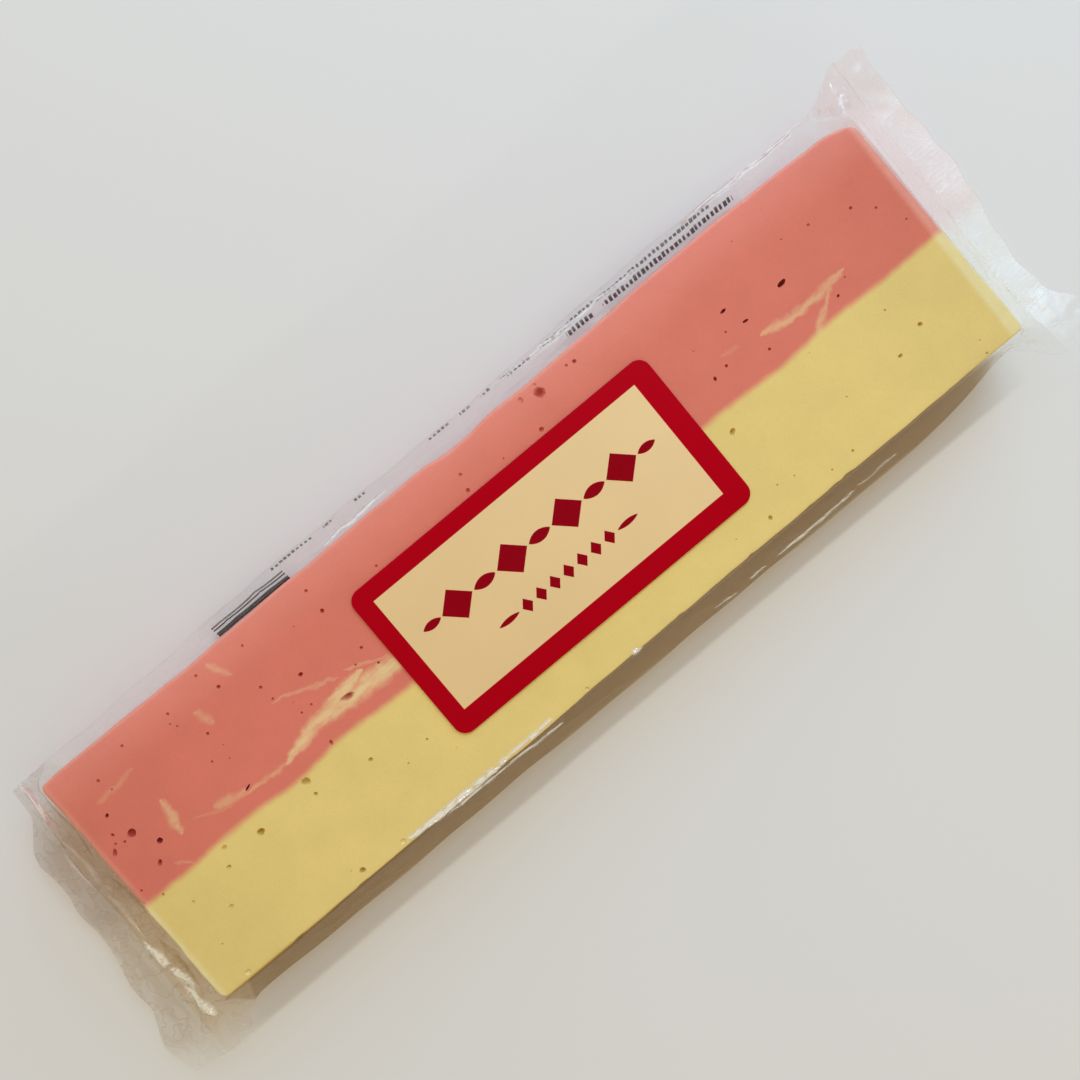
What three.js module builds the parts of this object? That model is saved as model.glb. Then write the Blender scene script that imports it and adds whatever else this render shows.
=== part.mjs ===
// A bar of two-colour nougat, sealed in clear flow-wrap film, with a paper label on top and a
// clear printed sticker on the back that turns up over one side fold of the film.
// Millimetres. +X runs along the bar, +Y points to its pink side, +Z points up, and the pack
// lies on its back label at z = 0, under the middle of its own box.
import * as THREE from "three";
import { mergeVertices } from "three/addons/utils/BufferGeometryUtils.js";

// Driving dimensions
const barLength = 176;
const barWidth = 47;
const barThickness = 15;
const filmStandOff = 0.1; // film over the faces of the bar
const pieceGap = 0.3; // between the film and a label
const labelThickness = 0.3;
const frontLabelLength = 64.6;
const frontLabelWidth = 30.9;
const frontLabelCorner = 2.5;
const frontLabelShift = 3.6; // from the middle of the bar towards +X
const backLabelFrom = -53;
const backLabelTo = 70;
const backLabelInset = 15; // its straight edge, from the middle of the bar towards -Y
const backLabelTurnUp = 0.62; // share of the side slope that it climbs
const finThickness = 0.7;
const topEdgeRadius = 0.8;
const foldEdge = 0.5; // thickness of the film's side folds at their outermost line
const foldHeight = 4.2; // of the side folds above the underside of the film, away from the fins
const flareLength = 2; // over which the side folds widen into a fin
const skewLength = 48; // over which the bar leans into its slightly skewed +X end

// How the film bows between two lines: 1 is straight, less bulges up and more sags.
const upperBow = 0.92; // over a side fold
const lowerBow = 1.3; // under a side fold
const endBow = 0.8; // from the end of the bar to a fin
const finBow = 1.2; // from a fin's weld line to its cut edge

// Where things lie
const filmBottom = labelThickness + pieceGap;
const filmTop = filmBottom + barThickness + 2 * filmStandOff;
const halfWidth = barWidth / 2 + filmStandOff;
const halfLength = barLength / 2 + filmStandOff;

// A side fold stands out from the bar by reach, from its -X end to its +X end. A ripple is a sine
// with a height, a wave length and a phase in radians.
const pinkFold = { reach: [3.5, 5.4], ripples: [[0.3, 85, 4.4], [0.12, 17, 2.1]], pucker: 15 };
const yellowFold = { reach: [5, 5.2], ripples: [[0.15, 53, 1.9], [0.1, 19, 0.4]], pucker: 13 };
const puckerHeight = 0.5;
const pinchFrom = 60; // from the middle of the bar to where a side fold starts to draw in

// The two end fins. skew: how far the end of the bar is out at y = 0, and its gain for each
// millimetre of y. reach: how far a side fold stands out where it meets the fin. pinch: share of
// its reach that a side fold keeps next to the flare. weld: from the end of the bar to the weld
// line. depth: from there to the cut edge. lift and tip: height of the weld line and of the cut
// edge. A shift moves the weld line or the cut edge out, or curls the fin up, by an amount, over a
// stretch of its width on one side of the middle.
const finAtPlusX = {
  sign: 1, skew: [0.8, -0.028], reachPink: 9.2, reachYellow: 8.2, pinchPink: 1, pinchYellow: 0.45,
  weld: 6.9, depth: 5.7, lift: 7.6, tip: 6.6,
  weldShifts: [],
  cutRipples: [[0.55, 48, 0.5], [0.3, 8.5, 3]],
  cutShifts: [
    { side: -1, from: 20, to: 26, by: 2.4 },
    { side: -1, from: 28, to: 31.8, by: -2 },
    { side: 1, from: 20, to: 30, by: 0.4 },
  ],
  curlShifts: [{ side: -1, from: 20, to: 31, by: 2.8 }, { side: 1, from: 22, to: 33, by: 1.8 }],
  flutters: [[0.5, 24, 1.1], [0.2, 9, 0.5]],
};
const finAtMinusX = {
  sign: -1, skew: [-0.2, 0], reachPink: 3, reachYellow: 9, pinchPink: 1, pinchYellow: 1,
  weld: 7.2, depth: 7.3, lift: 6.6, tip: 1.6,
  weldShifts: [{ side: -1, from: 0, to: 14, by: 1.4 }, { side: 1, from: 6, to: 24, by: -1.6 }],
  cutRipples: [[0.2, 31, -0.9], [0.25, 12.5, 2]],
  cutShifts: [
    { side: -1, from: 17, to: 26, by: 2.3 },
    { side: -1, from: 30, to: 32.6, by: -0.8 },
    { side: 1, from: 2, to: 9, by: -2 },
    { side: 1, from: 10, to: 14, by: 1.4 },
    { side: 1, from: 15, to: 22, by: -4.7 },
  ],
  curlShifts: [{ side: 1, from: 12, to: 24, by: 1.2 }],
  flutters: [[0.5, 24, -1.1], [0.2, 9, 0.5]],
};
const weldRipple = [0.35, 44, 0];
const flutterAtWeld = 0.2; // share of a fin's flutter that its weld line has

const lerp = THREE.MathUtils.lerp;
const smooth = (value, from, to) => THREE.MathUtils.smoothstep(value, from, to);
const wave = (at, length, phase) => Math.sin((2 * Math.PI * at) / length + phase);
const rippled = (ripples, at) =>
  ripples.reduce((sum, [height, length, phase]) => sum + height * wave(at, length, phase), 0);
const shifted = (shifts, y) =>
  shifts.reduce((sum, { side, from, to, by }) => sum + by * smooth(side * y, from, to), 0);
const finNear = (x) => (x > 0 ? finAtPlusX : finAtMinusX);
const finReach = (fin, side) => (side > 0 ? fin.reachPink : fin.reachYellow);
const foldPinch = (fin, side) => (side > 0 ? fin.pinchPink : fin.pinchYellow);

// 0 along the middle of the pack, rising to 1 where a side fold becomes the edge of a fin.
function finShare(x) {
  return smooth(Math.abs(x), halfLength - flareLength, halfLength + finNear(x).weld);
}

// How far the side fold stands out from the bar at x, on the pink side (+1) or the yellow side (-1).
function foldReach(x, side) {
  const { reach, ripples } = side > 0 ? pinkFold : yellowFold;
  const along = (x + halfLength) / (2 * halfLength);
  const fin = finNear(x);
  const pinch = lerp(1, foldPinch(fin, side), smooth(Math.abs(x), pinchFrom, halfLength));
  const free = (lerp(reach[0], reach[1], along) + rippled(ripples, x)) * pinch;
  return lerp(free, finReach(fin, side), finShare(x));
}

// The height of the side fold's outer line at x, which runs into the edge of the fin.
function foldLine(x, side) {
  const fin = finNear(x);
  const edge = side * (halfWidth + finReach(fin, side));
  return lerp(filmBottom + foldHeight, finHeight(fin, edge, 0), finShare(x));
}

// The upper and lower face of the film in a cross-section of the body. climb runs from 0 at the
// edge of the bar to 1 at the outer line of the side fold, and is negative over the bar itself.
function bodyHeights(x, side, climb) {
  if (climb < 0) return { upper: filmTop, lower: filmBottom };
  const { pucker } = side > 0 ? pinkFold : yellowFold;
  const puckered = puckerHeight * climb * (1 - climb) * wave(x, pucker, side);
  const shoulder = filmTop - topEdgeRadius / 2;
  const outer = foldLine(x, side);
  return {
    upper: lerp(shoulder, outer + foldEdge / 2, climb ** upperBow) + puckered,
    lower: lerp(filmBottom, outer - foldEdge / 2, climb ** lowerBow),
  };
}

// How far the end of the bar, next to a fin, is out at y.
const endSkew = (fin, y) => fin.skew[0] + fin.skew[1] * y;

// Distance of the weld line and of the cut edge from the end of the bar, at y across a fin.
function finEdges(fin, y) {
  const weld = fin.weld + rippled([weldRipple], y) + shifted(fin.weldShifts, y);
  const cut = weld + fin.depth + rippled(fin.cutRipples, y) + shifted(fin.cutShifts, y);
  return { weld, cut };
}

// Mid height of a fin, out from 0 at its weld line to 1 at its cut edge. Where the fin is short,
// it droops less.
function finHeight(fin, y, out) {
  const { weld, cut } = finEdges(fin, y);
  const droop = Math.min((cut - weld) / fin.depth, 1);
  const level = lerp(fin.lift, fin.tip, droop * out ** finBow);
  const flutter = lerp(flutterAtWeld, 1, out) * rippled(fin.flutters, y);
  return filmBottom + level + shifted(fin.curlShifts, y) + flutter;
}

// Cross-section rows, from the pink side fold to the yellow one: side, and climb as above, with
// flat rows spread over the bar.
function crossRows() {
  const climbs = [1, 0.72, 0.45, 0.2, 0];
  const flatSteps = 10;
  const flatHalf = halfWidth - topEdgeRadius;
  const rows = climbs.map((climb) => ({ side: 1, climb }));
  for (let i = 0; i <= flatSteps; i += 1) {
    rows.push({ side: 0, climb: -1, y: lerp(flatHalf, -flatHalf, i / flatSteps) });
  }
  return rows.concat(climbs.map((climb) => ({ side: -1, climb })).reverse());
}

// Stations along the pack: zone, and how far through that zone.
function alongStations() {
  const stations = [];
  const add = (zone, fin, steps, from, to) => {
    for (let i = 0; i < steps; i += 1) stations.push({ zone, fin, at: lerp(from, to, i / steps) });
  };
  add("fin", finAtMinusX, 4, 1, 0);
  add("end", finAtMinusX, 4, 1, 0);
  add("body", null, 44, -halfLength, halfLength);
  add("end", finAtPlusX, 4, 0, 1);
  add("fin", finAtPlusX, 4, 0, 1);
  stations.push({ zone: "fin", fin: finAtPlusX, at: 1 });
  return stations;
}

// One point of the wrap. face is +1 on the upper face and -1 on the lower one.
function wrapPoint(station, row, face) {
  const { zone, fin, at } = station;
  const pastEnd = zone === "end" ? at : 1;
  const sectionX = zone === "body" ? at : fin.sign * (halfLength + pastEnd * fin.weld);
  const reach = foldReach(sectionX, row.side);
  const y = row.climb < 0 ? row.y : row.side * (halfWidth + row.climb * reach);
  const section = bodyHeights(sectionX, row.side, row.climb);
  const sectionZ = face > 0 ? section.upper : section.lower;
  if (zone === "body") {
    const near = finNear(at);
    const lean = near.sign * endSkew(near, y) * smooth(Math.abs(at), halfLength - skewLength, halfLength);
    return new THREE.Vector3(at + lean, y, sectionZ);
  }
  const { weld, cut } = finEdges(fin, y);
  const out = zone === "fin" ? at : 0;
  const finZ = finHeight(fin, y, out) + (face * finThickness) / 2;
  if (zone === "fin") {
    return new THREE.Vector3(fin.sign * (halfLength + lerp(weld, cut, out)), y, finZ);
  }
  const drop = at ** endBow;
  const past = lerp(endSkew(fin, y), weld, at);
  return new THREE.Vector3(fin.sign * (halfLength + past), y, lerp(sectionZ, finZ, drop));
}

// A box with one step through its thickness, bent by place(column, row, face) into a closed skin.
function bentBox(columns, rows, place) {
  const geometry = new THREE.BoxGeometry(1, 1, 1, columns, rows, 1);
  geometry.deleteAttribute("normal");
  geometry.deleteAttribute("uv");
  const points = geometry.getAttribute("position");
  for (let i = 0; i < points.count; i += 1) {
    const column = Math.round((points.getX(i) + 0.5) * columns);
    const row = Math.round((0.5 - points.getY(i)) * rows);
    const point = place(column, row, Math.sign(points.getZ(i)));
    points.setXYZ(i, point.x, point.y, point.z);
  }
  return mergeVertices(geometry, 1e-4);
}

// The film pack with the bar inside, as one solid.
function filmPack() {
  const stations = alongStations();
  const rows = crossRows();
  return bentBox(stations.length - 1, rows.length - 1, (column, row, face) =>
    wrapPoint(stations[column], rows[row], face));
}

function frontLabel() {
  const halfL = frontLabelLength / 2;
  const halfW = frontLabelWidth / 2;
  const corner = frontLabelCorner;
  const outline = new THREE.Shape();
  outline.moveTo(-halfL + corner, -halfW);
  outline.lineTo(halfL - corner, -halfW);
  outline.absarc(halfL - corner, -halfW + corner, corner, -Math.PI / 2, 0);
  outline.absarc(halfL - corner, halfW - corner, corner, 0, Math.PI / 2);
  outline.absarc(-halfL + corner, halfW - corner, corner, Math.PI / 2, Math.PI);
  outline.absarc(-halfL + corner, -halfW + corner, corner, Math.PI, 1.5 * Math.PI);
  return new THREE.ExtrudeGeometry(outline, {
    depth: labelThickness, bevelEnabled: false, curveSegments: 8,
  });
}

// The film's surface under the back label in the cross-section at x: flat under the bar, then out
// along the underside of the pink side fold, over its outer line and up its slope.
function backLabelPath(x) {
  const at = (climb, face) => {
    const { upper, lower } = bodyHeights(x, 1, climb);
    return new THREE.Vector2(halfWidth + climb * foldReach(x, 1), face > 0 ? upper : lower);
  };
  const path = [
    new THREE.Vector2(-backLabelInset, filmBottom),
    new THREE.Vector2(halfWidth / 3, filmBottom),
  ];
  const underSteps = 3;
  for (let i = 0; i <= underSteps; i += 1) path.push(at(i / underSteps, -1));
  const climbSteps = 4;
  for (let i = 0; i <= climbSteps; i += 1) path.push(at(1 - (backLabelTurnUp * i) / climbSteps, 1));
  return path;
}

// The path moved outwards from the film by a distance.
function offsetPath(path, distance) {
  return path.map((point, i) => {
    const before = path[Math.max(i - 1, 0)];
    const after = path[Math.min(i + 1, path.length - 1)];
    const arriving = point.clone().sub(before).normalize();
    const leaving = after.clone().sub(point).normalize();
    const along = arriving.add(leaving).normalize();
    return point.clone().add(new THREE.Vector2(along.y, -along.x).multiplyScalar(distance));
  });
}

function backLabel() {
  const columns = 28;
  const sections = [];
  for (let i = 0; i <= columns; i += 1) {
    const x = lerp(backLabelFrom, backLabelTo, i / columns);
    const path = backLabelPath(x);
    const inner = offsetPath(path, pieceGap);
    const outer = offsetPath(path, pieceGap + labelThickness);
    sections.push({ x, inner, outer });
  }
  const rows = sections[0].inner.length - 1;
  return bentBox(columns, rows, (column, row, face) => {
    const { x, inner, outer } = sections[column];
    const point = (face > 0 ? inner : outer)[rows - row];
    return new THREE.Vector3(x, point.x, Math.max(point.y, face > 0 ? labelThickness : 0));
  });
}

const film = new THREE.MeshStandardMaterial({
  color: "#e9e7e2", roughness: 0.08, metalness: 0, transparent: true, opacity: 0.35,
});
const labelPaper = new THREE.MeshStandardMaterial({ color: "#b0001c", roughness: 0.45, metalness: 0 });
const printedSticker = new THREE.MeshStandardMaterial({ color: "#d9d8d3", roughness: 0.3, metalness: 0 });

const nougatBar = new THREE.Group();

function addPart(name, geometry, material) {
  const mesh = new THREE.Mesh(geometry, material);
  mesh.name = name;
  nougatBar.add(mesh);
  return mesh;
}

addPart("film_pack", filmPack(), film);
addPart("front_label", frontLabel(), labelPaper).position.set(frontLabelShift, 0, filmTop + pieceGap);
addPart("back_label", backLabel(), printedSticker);

// The origin is under the middle of the whole pack's box.
const middle = new THREE.Box3().setFromObject(nougatBar).getCenter(new THREE.Vector3());
nougatBar.position.set(-middle.x, -middle.y, 0);

export default nougatBar;
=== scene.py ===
import math
import random

import bmesh
import bpy
from mathutils import Matrix, Vector, noise
from mathutils.bvhtree import BVHTree


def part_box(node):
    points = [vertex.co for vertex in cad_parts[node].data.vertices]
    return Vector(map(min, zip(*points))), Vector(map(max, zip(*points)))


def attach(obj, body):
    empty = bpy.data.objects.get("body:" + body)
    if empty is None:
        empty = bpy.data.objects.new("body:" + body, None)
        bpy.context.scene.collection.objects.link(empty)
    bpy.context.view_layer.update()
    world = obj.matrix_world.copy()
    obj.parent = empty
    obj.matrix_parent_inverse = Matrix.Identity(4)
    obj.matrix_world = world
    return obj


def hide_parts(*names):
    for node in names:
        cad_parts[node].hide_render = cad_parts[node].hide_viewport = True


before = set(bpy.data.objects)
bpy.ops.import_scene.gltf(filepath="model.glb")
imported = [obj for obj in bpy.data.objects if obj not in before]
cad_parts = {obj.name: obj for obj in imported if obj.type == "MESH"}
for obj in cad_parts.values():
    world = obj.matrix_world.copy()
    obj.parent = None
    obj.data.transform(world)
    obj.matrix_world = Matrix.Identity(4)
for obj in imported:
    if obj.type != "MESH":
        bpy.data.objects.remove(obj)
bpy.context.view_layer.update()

# All shapes are worked out in millimetres from the middle of the nougat bar, with +X along it,
# +Y to its pink side and z = 0 on the table, and then placed in the frame.
labelForm = {
    "length": 64.6, "width": 30.9, "corner": 2.3, "shift": 3.6, "bottom": 15.9, "top": 16.12,
    "fieldLength": 57.1, "fieldWidth": 23.85, "fieldX": 3.2, "fieldY": 0.27,
}
labelLow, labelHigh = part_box("front_label")
barCentre = (labelLow + labelHigh) / 2 - Vector((labelForm["shift"] / 1000, 0, 0))
toFrame = Matrix.Translation((barCentre.x, barCentre.y, 0)) @ Matrix.Scale(0.001, 4)


def lerp(start, end, share):
    return start + (end - start) * share


def smoothStep(value, start, end):
    share = min(max((value - start) / (end - start), 0), 1)
    return share * share * (3 - 2 * share)


def wave(at, length, phase):
    return math.sin(2 * math.pi * at / length + phase)


def rippled(ripples, at):
    return sum(height * wave(at, length, phase) for height, length, phase in ripples)


def shifted(shifts, y):
    return sum(by * smoothStep(side * y, start, end) for side, start, end, by in shifts)


def bumpy(x, y, z, size, seed=0):
    return noise.noise(Vector((x / size + 13.7 * seed, y / size - 7.3 * seed, z / size + 3.1 * seed)))


def ridged(x, y, z, size, seed, sharp):
    return (1 - abs(bumpy(x, y, z, size, seed))) ** sharp


def onTable(points, at):
    for (x0, y0), (x1, y1) in zip(points, points[1:]):
        if at <= x1:
            return lerp(y0, y1, smoothStep(at, x0, x1))
    return points[-1][1]


def makeObject(name, bm, material, sharpAngle=None):
    bm.transform(toFrame)
    mesh = bpy.data.meshes.new(name)
    bm.to_mesh(mesh)
    bm.free()
    for polygon in mesh.polygons:
        polygon.use_smooth = True
    if sharpAngle:
        mesh.set_sharp_from_angle(angle=math.radians(sharpAngle))
    piece = bpy.data.objects.new(name, mesh)
    bpy.context.scene.collection.objects.link(piece)
    piece.data.materials.append(material)
    return piece


def standFor(piece, node):
    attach(piece, "root")
    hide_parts(node)
    print(piece.name, "made,", len(piece.data.polygons), "faces")


# Short hands for building shader nodes.

def paint(red, green, blue):
    def linear(value):
        value /= 255
        return value / 12.92 if value <= 0.04045 else ((value + 0.055) / 1.055) ** 2.4
    return (linear(red), linear(green), linear(blue), 1)


def feed(tree, socket, value):
    if isinstance(value, bpy.types.NodeSocket):
        tree.links.new(value, socket)
    else:
        socket.default_value = value


def addNode(tree, kind, inputs=None, **settings):
    made = tree.nodes.new("ShaderNode" + kind)
    for key, value in settings.items():
        setattr(made, key, value)
    for key, value in (inputs or {}).items():
        feed(tree, made.inputs[key], value)
    return made


def calc(tree, operation, *values, clamp=False):
    made = addNode(tree, "Math", dict(enumerate(values)), operation=operation, use_clamp=clamp)
    return made.outputs[0]


def product(tree, first, *others):
    for other in others:
        first = calc(tree, "MULTIPLY", first, other)
    return first


def vectorCalc(tree, operation, *values):
    made = addNode(tree, "VectorMath", dict(enumerate(values)), operation=operation)
    return made.outputs["Value" if operation in ("LENGTH", "DOT_PRODUCT", "DISTANCE") else "Vector"]


def ramp(tree, value, fromLow, fromHigh, toLow=0.0, toHigh=1.0):
    return addNode(tree, "MapRange", {
        "Value": value, "From Min": fromLow, "From Max": fromHigh, "To Min": toLow, "To Max": toHigh,
    }, interpolation_type="SMOOTHSTEP").outputs["Result"]


def blendColours(tree, share, first, second, kind="MIX"):
    made = addNode(tree, "Mix", data_type="RGBA", blend_type=kind)
    for index, value in ((0, share), (6, first), (7, second)):
        feed(tree, made.inputs[index], value)
    return made.outputs[2]


def shaded(tree, colour, shade):
    grey = addNode(tree, "CombineColor", {0: shade, 1: shade, 2: shade}).outputs[0]
    return blendColours(tree, 1.0, colour, grey, "MULTIPLY")


def cloud(tree, vector, size, detail=2, roughness=0.5, distortion=0.0):
    return addNode(tree, "TexNoise", {
        "Vector": vector, "Scale": 1 / size, "Detail": detail, "Roughness": roughness,
        "Distortion": distortion,
    }).outputs[0]


def newGroup(name, inputs, outputs):
    group = bpy.data.node_groups.new(name, "ShaderNodeTree")
    for socketName, kind in inputs:
        group.interface.new_socket(socketName, in_out="INPUT", socket_type="NodeSocket" + kind)
    for socketName, kind in outputs:
        group.interface.new_socket(socketName, in_out="OUTPUT", socket_type="NodeSocket" + kind)
    given, out = group.nodes.new("NodeGroupInput"), group.nodes.new("NodeGroupOutput")
    return group, given.outputs, out.inputs


def useGroup(tree, group, inputs):
    made = tree.nodes.new("ShaderNodeGroup")
    made.node_tree = group
    for key, value in inputs.items():
        feed(tree, made.inputs[key], value)
    return made.outputs


def newMaterial(name):
    # Every material reads places in the same millimetres as the shapes.
    material = bpy.data.materials.new(name)
    material.use_nodes = True
    tree = material.node_tree
    tree.nodes.clear()
    place = addNode(tree, "TexCoord").outputs["Object"]
    fromCentre = vectorCalc(tree, "SUBTRACT", place, (barCentre.x, barCentre.y, 0))
    millimetres = vectorCalc(tree, "MULTIPLY", fromCentre, (1000, 1000, 1000))
    return material, tree, millimetres


def setSurface(tree, shader):
    output = tree.nodes.new("ShaderNodeOutputMaterial")
    tree.links.new(shader, output.inputs["Surface"])


def setClearSurface(tree, seen, through, shader):
    clear = addNode(tree, "BsdfTransparent", {"Color": through}).outputs[0]
    setSurface(tree, addNode(tree, "MixShader", {0: seen, 1: clear, 2: shader}).outputs[0])


# The nougat: a pink and a yellow strip side by side, with air bubbles that the knife opened.

nougatForm = {
    "halfLength": 88, "halfWidth": 23.5, "bottom": 0.5, "top": 15.7,
    "pinkRound": 0.9, "yellowRound": 0.4, "pinkCorners": (0.9, 1.8), "yellowCorners": (1.7, 0.7),
    "step": 1.0, "skewRight": 1.1, "skewGain": -0.028, "skewLeft": -0.15, "skewLength": 48,
    "pinkEdge": [
        (-88, 24.0), (-80, 24.1), (-70, 24.1), (-57, 23.8), (-45, 24.1), (-30, 24.2), (-12, 24.4), (-5, 24.3),
        (1, 23.6), (4, 23.7), (10, 24.2), (20, 24.1), (30, 24.3), (44, 24.7), (61, 24.8), (71, 24.5),
        (82, 24.2), (88, 22.9),
    ],
    "yellowEdge": [(-88, 23.9), (-75, 23.9), (-50, 23.6), (-25, 23.5), (-2, 23.15), (36, 23.05), (88, 23.0)],
    "colourJoin": [
        (-90, -2.9), (-76.5, -2.7), (-66, -2.4), (-54, -2.9), (-44, -2.1), (-30, -2.7), (10, -1.6),
        (37, -0.9), (46, -1.2), (56, -1.3), (64, -0.8), (78, -1.1), (90, -0.9),
    ],
    "joinSoftness": 0.85,
}
# Besides the nougat's own colours, this table holds painted light: the lighter edge and rim colours are
# painted highlight, and the darkest ones are painted shade inside opened bubbles.
nougatPaint = {
    "pink": (0.775, 0.201, 0.137, 1), "pinkEdgeLight": (0.85, 0.26, 0.195, 1),
    "pinkPale": (0.88, 0.44, 0.34, 1), "pinkHollowShade": (0.4, 0.014, 0.008, 1),
    "yellow": (0.855, 0.655, 0.22, 1), "yellowEdgeLight": (0.86, 0.66, 0.225, 1),
    "yellowPale": (0.9, 0.84, 0.5, 1), "yellowHollowShade": (0.46, 0.26, 0.02, 1), "cream": (0.89, 0.67, 0.33, 1),
}
# start x, y, end x, y, half width, strength of each cream streak in the pink
creamStreaks = [
    (-54, 0.7, -36, 4.4, 1.5, 0.8), (-48, 2.4, -20, 1.7, 2.1, 0.85), (-42, 4.0, -34, 4.5, 1.2, 0.8),
    (-49.5, 10.3, -38, 6.1, 0.5, 0.3), (-64, 0.9, -49, 0.6, 0.6, 0.35), (-68.5, 2.6, -62.5, 1.4, 1.1, 0.35),
    (-74.0, 9.6, -75.3, 2.4, 1.15, 0.5), (-60.6, 17.4, -58.8, 13.6, 1.0, 0.3),
    (-53.8, 22, -51.6, 17.9, 0.8, 0.35), (-83, 15.6, -74.2, 16.3, 0.8, 0.2),
    (-37, 6.6, -29, 3.6, 0.4, 0.3), (-72.5, 3.5, -66, 1.0, 0.4, 0.15),
    (53.5, 4.9, 64.5, 3.7, 1.1, 0.5), (59, 3.6, 72, 4.8, 1.0, 0.5), (69.4, 5.2, 64.4, 0.8, 0.7, 0.4),
    (66.2, 2.4, 61.0, -1.8, 0.9, 0.45), (46, 6.6, 50, 6.2, 0.5, 0.12), (-79.5, 0.2, -77, -2.4, 0.4, 0.25),
]


def streakGroup():
    # The place's third value carries the strongest streak so far, so that streaks follow one another.
    group, given, out = newGroup(
        "streak",
        [("Place", "Vector"), ("Start", "Vector"), ("End", "Vector"), ("Half Width", "Float"),
         ("Core", "Float"), ("Strength", "Float")], [("Place", "Vector")])
    axes = addNode(group, "SeparateXYZ", {0: given["Place"]}).outputs
    flat = vectorCalc(group, "MULTIPLY", given["Place"], (1, 1, 0))
    fromStart = vectorCalc(group, "SUBTRACT", flat, given["Start"])
    run = vectorCalc(group, "SUBTRACT", given["End"], given["Start"])
    share = calc(group, "DIVIDE", vectorCalc(group, "DOT_PRODUCT", fromStart, run),
                 vectorCalc(group, "DOT_PRODUCT", run, run), clamp=True)
    nearest = addNode(group, "VectorMath", {0: run, "Scale": share}, operation="SCALE").outputs["Vector"]
    distance = vectorCalc(group, "DISTANCE", fromStart, nearest)
    taper = product(group, share, calc(group, "SUBTRACT", 1, share), 4)
    width = calc(group, "MULTIPLY", given["Half Width"], calc(group, "SQRT", taper))
    width = calc(group, "MAXIMUM", width, 0.01)
    mask = ramp(group, calc(group, "DIVIDE", distance, width), 1.2, given["Core"])
    strongest = calc(group, "MAXIMUM", calc(group, "MULTIPLY", mask, given["Strength"]), axes["Z"])
    carried = addNode(group, "CombineXYZ", {0: axes["X"], 1: axes["Y"], 2: strongest})
    group.links.new(carried.outputs[0], out["Place"])
    return group


streak = streakGroup()


def streakTotal(tree, place, streaks, core):
    carried = vectorCalc(tree, "MULTIPLY", place, (1, 1, 0))
    for x0, y0, x1, y1, halfWidth, strength in streaks:
        carried = useGroup(tree, streak, {
            "Place": carried, "Start": (x0, y0, 0), "End": (x1, y1, 0), "Half Width": halfWidth, "Core": core,
            "Strength": strength})["Place"]
    return addNode(tree, "SeparateXYZ", {0: carried}).outputs["Z"]


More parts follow.
